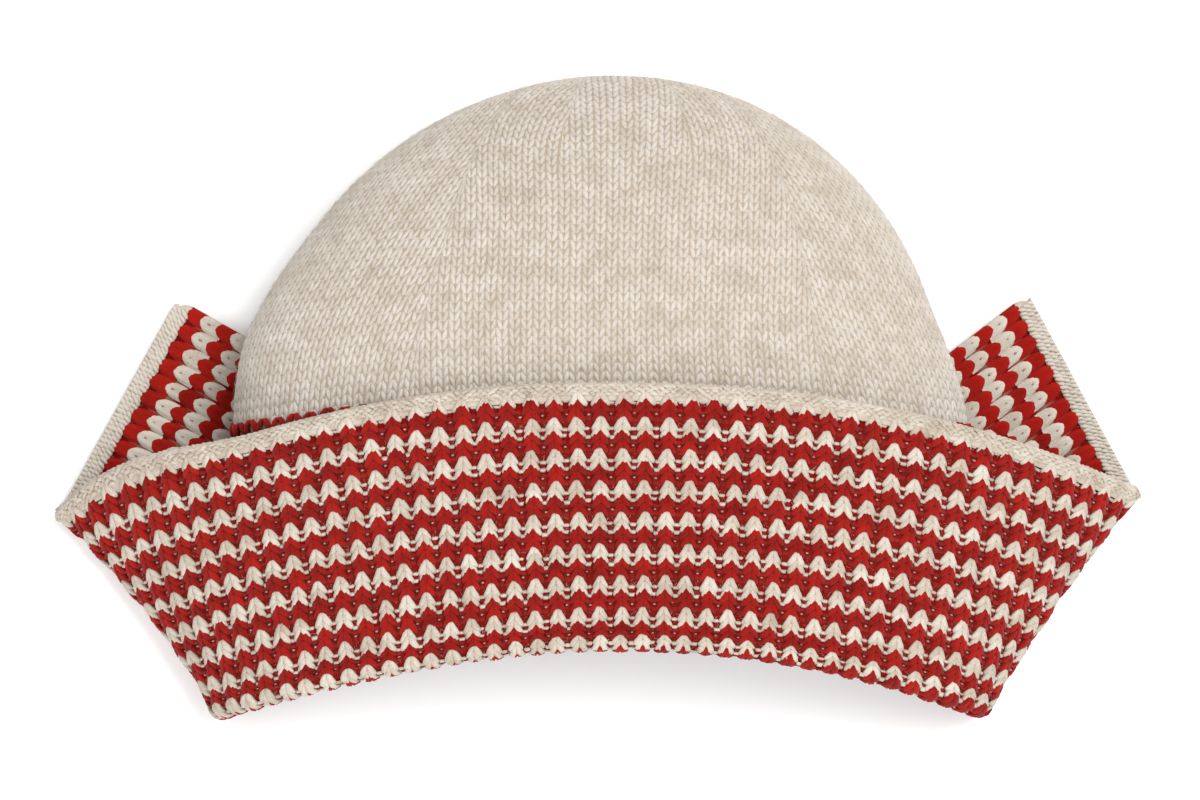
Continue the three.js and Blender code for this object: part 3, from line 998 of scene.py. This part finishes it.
class FLAP_HAT_OT_flap(bpy.types.Operator):
    """Knit the striped rib flap: its folded strip, and the stitches on its face, its wings and inside it"""

    bl_idname = "flap_hat.flap"
    bl_label = "Knit Flap"

    def execute(self, context):
        sizes = context.scene.flap_hat_sizes
        colours = context.scene.flap_hat_colours
        red = (colours.red_dark, colours.red)
        wool = wool_material("striped_wool", red, (colours.cream_dark, colours.cream), 0.9)
        # Darker copies of the red and the cream for the strip under the stitches: painted shade in the
        # valleys between columns
        shaded_red = [tuple(lerp(*np.array(red), share)) for share in (0.2, 0.5)]
        shaded_cream = [tuple(share * np.array(colours.cream_dark)) for share in (0.7, 0.95)]
        shade_wool = wool_material("striped_wool_shade", shaded_red, shaded_cream, 0.9, 0.0)
        cloth = FlapCloth()
        strip = self.strip(cloth, shade_wool)
        full = sizes.rib_yarn / MM / 1.5
        pieces = [self.rim_row(wool, full), *self.selvedges(cloth, wool)]
        pieces += self.stitches(cloth, wool, full)
        pieces += self.fibres(cloth, wool)
        belong((strip, *pieces), "flap")
        middle = lengths_along(cloth.points[:, cloth.points.shape[1] // 2], 0)[-1]
        return {"FINISHED"}

    def strip(self, cloth, wool):
        """The strip under its stitches, from the cream edge's seam to the rim, with its stripes in painted
        shade.
        """
        points, triangles, row, places = cloth.band(155, np.arange(0, RIM_ROW, 1.0), STRIP_HALF)
        back_row = row - REVERSE_SHIFT
        # The back's cream rows take a half mix of the shaded red and cream: painted shade in the valleys
        # between the wing's loops
        back_dye_and_shade = np.where((back_row < 0) | (stripe_of(back_row) > 0), 0.5, 0.0)
        # The face's cream rows take almost only the shaded red, partly the red of the purl bars there and
        # partly painted shade
        face_dye_and_shade = np.where(row > INNER_STARTS, 0.7, 0.02) * stripe_of(row)
        dye = np.concatenate([face_dye_and_shade.ravel(), back_dye_and_shade.ravel()])
        # The strip's low tone is more painted shade
        return mesh_object("flap_strip", points, triangles, wool, {"tone": 0.2, "dye": dye}, places)

    def rim_row(self, wool, full):
        """The red row that joins the strip to the crown: pointed arches side by side round the rim."""
        crown = CrownCloth()
        count = int(crown.girth / RIM_STITCH_MM)
        spots = np.stack([np.arange(count) / count, np.zeros(count)], -1)

        def place(spot, local):
            return crown.at(spot[..., 0] + local[..., 0] / crown.girth, local[..., 1] / 125, local[..., 2])

        return knitted("flap_rim_row", rim_stitch(full), spots, place, wool, 0.0, 29)

    def selvedges(self, cloth, wool):
        """A line of stitches along each end of the strip."""
        step = np.array([0, 0.3, 0.7, 1])
        path = np.stack([0 * step, 1.3 - 2.6 * step, 0 * step], -1)
        selvedge = spindle(path, [0.85, 0.85], [1.1, 1.1], 6)
        rows = np.arange(0, int(RIM_ROW) - 1).astype(float)
        place = cloth.place_on(1, 0.5, SWAY)
        made = []
        for name, sign, seed in (("flap_left_selvedge", -1, 18), ("flap_right_selvedge", 1, 19)):
            ends = np.stack([sign * end_column(rows), rows], -1)
            made.append(knitted(name, selvedge, ends, place, wool, stripe_of(rows), seed))
        return made

    def stitches(self, cloth, wool, full):
        """Rib stitches by column and row, two legs each, with the bars of the purl stitches between them."""
        count = int(HALF_COLUMNS)
        column, row = np.meshgrid(np.arange(-count, count + 1), np.arange(int(RIM_ROW)), indexing="ij")
        column = column.ravel().astype(float)
        row = row.ravel().astype(float)
        share = np.clip(SEAM_SHARE - ROW_SHARE * (row + 0.5), 0, 1)
        fold = lerp(FOOT_COLUMN, CORNER_COLUMN, share)
        here = cloth.knit(column, row, 0.0)
        roomy = np.linalg.norm(cloth.knit(column, row + 1, 0.0) - here, axis=-1) > 1.2
        outer = row < INNER_STARTS
        front = outer & (abs(column) < fold + 1.6) & (row < RIM_ROW - 1)
        wing = outer & ~front
        inner = ~outer & roomy & (row < RIM_ROW - 1)
        reverse = (row < FOLD_ROW - 1) & (abs(column) > fold + 0.7)
        near_edge = (row < 9) & (abs(column) <= fold + 0.7)
        first = np.mod(row, 2) == 0
        dye = stripe_of(row)
        cream = first & (dye > 0)
        red = first & (dye < 1)
        spots = np.stack([column, row], -1)
        lower = spots + [0, REVERSE_SHIFT]
        spread = np.stack([column, spread_row(row)], -1)
        simple = hidden_stitch()
        bar = valley_bar(1.7, 4.3, -1.7, 0.3, 0.45, 0.5)
        low_bar = valley_bar(1.75, 4.25, -3.45, 0.8, 0.45, 0.58)
        speck = valley_bar(2.25, 3.75, -2.75, 0.0, 0.35, 0.52)
        fleck = valley_bar(2.5, 3.5, -2.9, 0.0, 0.55, 0.26)
        # A darker red-cream dot for each cream scale's middle: painted shade of the hole at the scale's
        # crotch
        hole_shade_dot = valley_bar(-0.42, 0.42, -0.75, 0.0, 1.2, 0.42)
        made = []
        for name, template, places, chosen, side, dyes, tone, seed in (
            ("flap_front_stitches", rib_stitch(full), spread, front, 1, dye, 0.5, 21),
            ("flap_front_bars", bar, spread, front & first, 1, dye, 0.5, 22),
            ("flap_front_low_bars", low_bar, spread, front & first, 1, dye, 0.5, 27),
            ("flap_front_specks", speck, spread, front & cream, 1, 1 - dye, 0.5, 23),
            ("flap_front_flecks", fleck, spread, front & red, 1, 0.6 * (1 - dye), 0.5, 20),
            ("flap_wing_under_stitches", simple, spots, wing, 1, dye, 0.5, 24),
            ("flap_inner_stitches", simple, spots, inner, 1, dye, 0.5, 25),
            # The wing's scales take a higher tone, a lighter copy of their yarn: painted light on the wing
            # that lies low in the flap's shade
            ("flap_wing_scales", wing_scale(), lower, reverse & first, -1, dye, 0.7, 26),
            # The dots on the cream scales are painted shade of their holes
            ("flap_wing_hole_shade_dots", hole_shade_dot, lower, reverse & cream, -1, 0.6 * dye, 0.5, 17),
            ("flap_reverse_stitches", simple, lower, near_edge, -1, dye, 0.5, 28),
        ):
            place = cloth.place_on(side, 0.5, SWAY)
            made.append(knitted(name, template, places[chosen], place, wool, dyes[chosen], seed, tone))
        return made

    def fibres(self, cloth, wool):
        """Stray fibres on the flap's front and on the upper side of its wings."""
        chance = np.random.default_rng(40)
        front = chance.random((FRONT_FIBRES, 2)) * [51, 34] - [25.5, 0.5]
        wings = chance.random((WING_FIBRES, 2)) * [34, 31.5] - [17, 1.0]
        wings[:, 0] += np.sign(wings[:, 0]) * 21.2
        wings = wings[abs(wings[:, 0]) < HALF_COLUMNS]
        made = []
        for name, spots, side, row_shift, seed in (
            ("flap_front_fuzz", front, FIBRE_START, 0.0, 41),
            ("flap_wing_fuzz", wings, -FIBRE_START, REVERSE_SHIFT, 42),
        ):
            place = cloth.place_on(side, 0.5, SWAY)
            made.append(fuzz(name, spots, place, wool, stripe_of(spots[:, 1] - row_shift), seed))
        return made


class FLAP_HAT_OT_edge(bpy.types.Operator):
    """Knit the flap's cream edge: its band, the purl bumps on its face and the slanted strands on its back"""

    bl_idname = "flap_hat.edge"
    bl_label = "Knit Cream Edge"

    def execute(self, context):
        sizes = context.scene.flap_hat_sizes
        colours = context.scene.flap_hat_colours
        wool = wool_material("cream_wool", (colours.cream_dark, colours.cream))
        cloth = FlapCloth()
        rows = np.linspace(EDGE_ROW, -0.02, 9)
        half = EDGE_HALF * np.sqrt(np.clip((rows - EDGE_ROW) / EDGE_ROUNDED_ROWS, 0.02, 1))
        points, triangles, _, places = cloth.band(261, rows, half)
        values = {"tone": 0.45, "dye": 1.0}
        band = mesh_object("flap_edge_band", points, triangles, wool, values, places)
        pieces = self.stitches(cloth, wool, sizes.edge_yarn / MM)
        pieces += self.fibres(cloth, wool)
        belong((band, *pieces), "flap_edge")
        return {"FINISHED"}

    def stitches(self, cloth, wool, width):
        """Purl arcs on the face, slanted strands on the back and a chain along the free side."""
        half = width / 2
        step = np.array([0, 0.15, 0.5, 0.85, 1])
        rise = np.sin(np.pi * step)
        arc = np.stack([-1.3 + 2.6 * step, 0.7 * rise - 0.35, 0.75 + 0.5 * rise], -1)
        purl = spindle(arc, half * np.array([0.95, 1.2, 0.95]), [0.5, 0.65, 0.5], 5)
        slant = np.stack([-1.0 + 2.0 * step, 1.2 - 2.4 * step, 1.05 + 0.2 * rise], -1)
        strand = spindle(slant, half * np.array([1.15, 1.4, 1.15]), [0.34, 0.4, 0.34], 4)
        link = np.stack([-1.9 + 3.8 * step, -0.45 + 0.9 * step, 0.3 + 0.35 * rise], -1)
        chain = spindle(link, half * np.array([1.1, 1.4, 1.1]), [0.7, 0.9, 0.7], 5)
        low_bar = valley_bar(1.75, 4.25, -2.95, 0.45, 0.45, 0.42)
        count = int(HALF_COLUMNS)
        columns = np.arange(-count, count + 1).astype(float)
        last = np.stack([columns, np.full(len(columns), -0.5)], -1)
        thirds = np.arange(-3 * count, 3 * count + 1) / 3
        bumps = np.concatenate([
            np.stack([thirds + 0.17 * (number % 2), np.full(len(thirds), line)], -1)
            for number, line in enumerate((-0.8, -1.15, -1.5, CHAIN_ROW))
        ])
        bumps = bumps[abs(bumps[:, 0]) < end_column(bumps[:, 1]) - 0.2]
        end = end_column(CHAIN_ROW)
        links = int(2 * end * LINKS_A_COLUMN)
        ends = np.stack([np.linspace(-end, end, links), np.full(links, CHAIN_ROW)], -1)
        rows = EDGE_ROW + (np.arange(3) + 0.5) * (REVERSE_SHIFT - EDGE_ROW) / 3
        column, row = np.meshgrid(np.linspace(-end, end, 2 * links), rows, indexing="ij")
        strands = np.stack([column.ravel(), row.ravel()], -1)
        strands = strands[abs(strands[:, 0]) < end_column(strands[:, 1])]
        made = []
        for name, template, spots, side, tone, loose, seed in (
            ("flap_edge_last_stitches", rib_stitch(1.0), last, 1, 0.5, 0.3, 30),
            ("flap_edge_bars", low_bar, last - [0, 1], 1, 0.5, 0.3, 36),
            ("flap_edge_purls", purl, bumps, 1, 0.5, 1.0, 31),
            # The back strands take a higher tone, a lighter copy of the cream: painted light on strands that
            # shade each other
            ("flap_edge_back_strands", strand, strands, -1, 0.8, 0.3, 33),
            ("flap_edge_chain", chain, ends, 1, 0.5, 0.3, 34),
            ("flap_edge_back_chain", chain, ends, -1, 0.5, 0.3, 35),
        ):
            uneven = np.random.default_rng(seed + 200).normal(0, 1, (len(spots), 2))
            turn = 0.35 * loose * uneven[:, 0]
            size = 1 + 0.15 * loose * uneven[:, 1]
            place = cloth.place_on(side)
            made.append(knitted(name, template, spots, place, wool, 1.0, seed, tone, turn, size))
        return made

    def fibres(self, cloth, wool):
        """Stray fibres on both sides of the cream edge."""
        end = end_column(CHAIN_ROW)
        chance = np.random.default_rng(43)
        made = []
        for name, side, seed in (("flap_edge_fuzz", 1, 44), ("flap_edge_back_fuzz", -1, 45)):
            spots = chance.random((EDGE_FIBRES, 2)) * [2 * end, -EDGE_ROW] + [-end, EDGE_ROW]
            made.append(fuzz(name, spots, cloth.place_on(side * FIBRE_START), wool, 1.0, seed))
        return made


class FLAP_HAT_OT_stage(bpy.types.Operator):
    """Lay the pale floor, set the soft studio lights and put the camera straight above the hat"""

    bl_idname = "flap_hat.stage"
    bl_label = "Set Stage"

    def execute(self, context):
        sizes = context.scene.flap_hat_sizes
        colours = context.scene.flap_hat_colours
        scene = context.scene
        line = np.linspace(-FLOOR_HALF, FLOOR_HALF, 9)
        x, y = np.meshgrid(line, line, indexing="ij")
        points = np.stack([x, y, np.zeros_like(x)], -1).reshape(-1, 3) - SHIFT
        triangles = grid_triangles(len(line), len(line))[:, ::-1]
        mesh_object("floor", points, triangles, floor_material(tuple(colours.floor)))
        scene.world = bpy.data.worlds.new("soft_room")
        scene.world.use_nodes = True
        room = scene.world.node_tree
        feed(room, room.nodes["Background"], {"Color": (1, 1, 1), "Strength": ROOM_LIGHT})
        scene.view_settings.view_transform = "Standard"
        for light in LIGHTS:
            self.light(*light)
        lens = bpy.data.cameras.new("view_from_above")
        lens.sensor_width = SENSOR_WIDTH
        lens.lens = SENSOR_WIDTH * sizes.view_distance / sizes.view_width
        lens.clip_end = 100.0
        scene.camera = bpy.data.objects.new("view_from_above", lens)
        scene.camera.location = (0.0, CAMERA_Y, sizes.view_distance + VIEWED_HEIGHT)
        scene.collection.objects.link(scene.camera)
        return {"FINISHED"}

    def light(self, name, place, size, power):
        """A square soft light that shines at the hat."""
        lamp = bpy.data.lights.new(name, "AREA")
        lamp.size = size
        lamp.energy = power
        made = bpy.data.objects.new(name, lamp)
        made.location = place
        direction = -made.location
        made.rotation_euler = direction.to_track_quat("-Z", "Y").to_euler()
        bpy.context.scene.collection.objects.link(made)


class FLAP_HAT_PT_panel(bpy.types.Panel):
    """The hat's operators, sizes and colours"""

    bl_idname = "FLAP_HAT_PT_panel"
    bl_label = "Flap Hat"
    bl_space_type = "VIEW_3D"
    bl_region_type = "UI"
    bl_category = "Flap Hat"

    def draw(self, context):
        layout = self.layout
        for operator in OPERATORS:
            layout.operator(operator.bl_idname)
        for group in (context.scene.flap_hat_sizes, context.scene.flap_hat_colours):
            for name in group.bl_rna.properties.keys():
                if name not in ("rna_type", "name"):
                    layout.prop(group, name)


OPERATORS = (FLAP_HAT_OT_stage, FLAP_HAT_OT_crown, FLAP_HAT_OT_edge, FLAP_HAT_OT_flap)
CLASSES = (HatSizes, HatColours, *OPERATORS, FLAP_HAT_PT_panel)


def register():
    for each in CLASSES:
        bpy.utils.register_class(each)
    bpy.types.Scene.flap_hat_sizes = bpy.props.PointerProperty(type=HatSizes)
    bpy.types.Scene.flap_hat_colours = bpy.props.PointerProperty(type=HatColours)


def unregister():
    del bpy.types.Scene.flap_hat_colours
    del bpy.types.Scene.flap_hat_sizes
    for each in reversed(CLASSES):
        bpy.utils.unregister_class(each)


def main():
    """Registers the add-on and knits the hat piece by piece."""
    register()
    bpy.ops.flap_hat.stage()
    bpy.ops.flap_hat.crown()
    bpy.ops.flap_hat.edge()
    bpy.ops.flap_hat.flap()


if __name__ == "__main__":
    main()
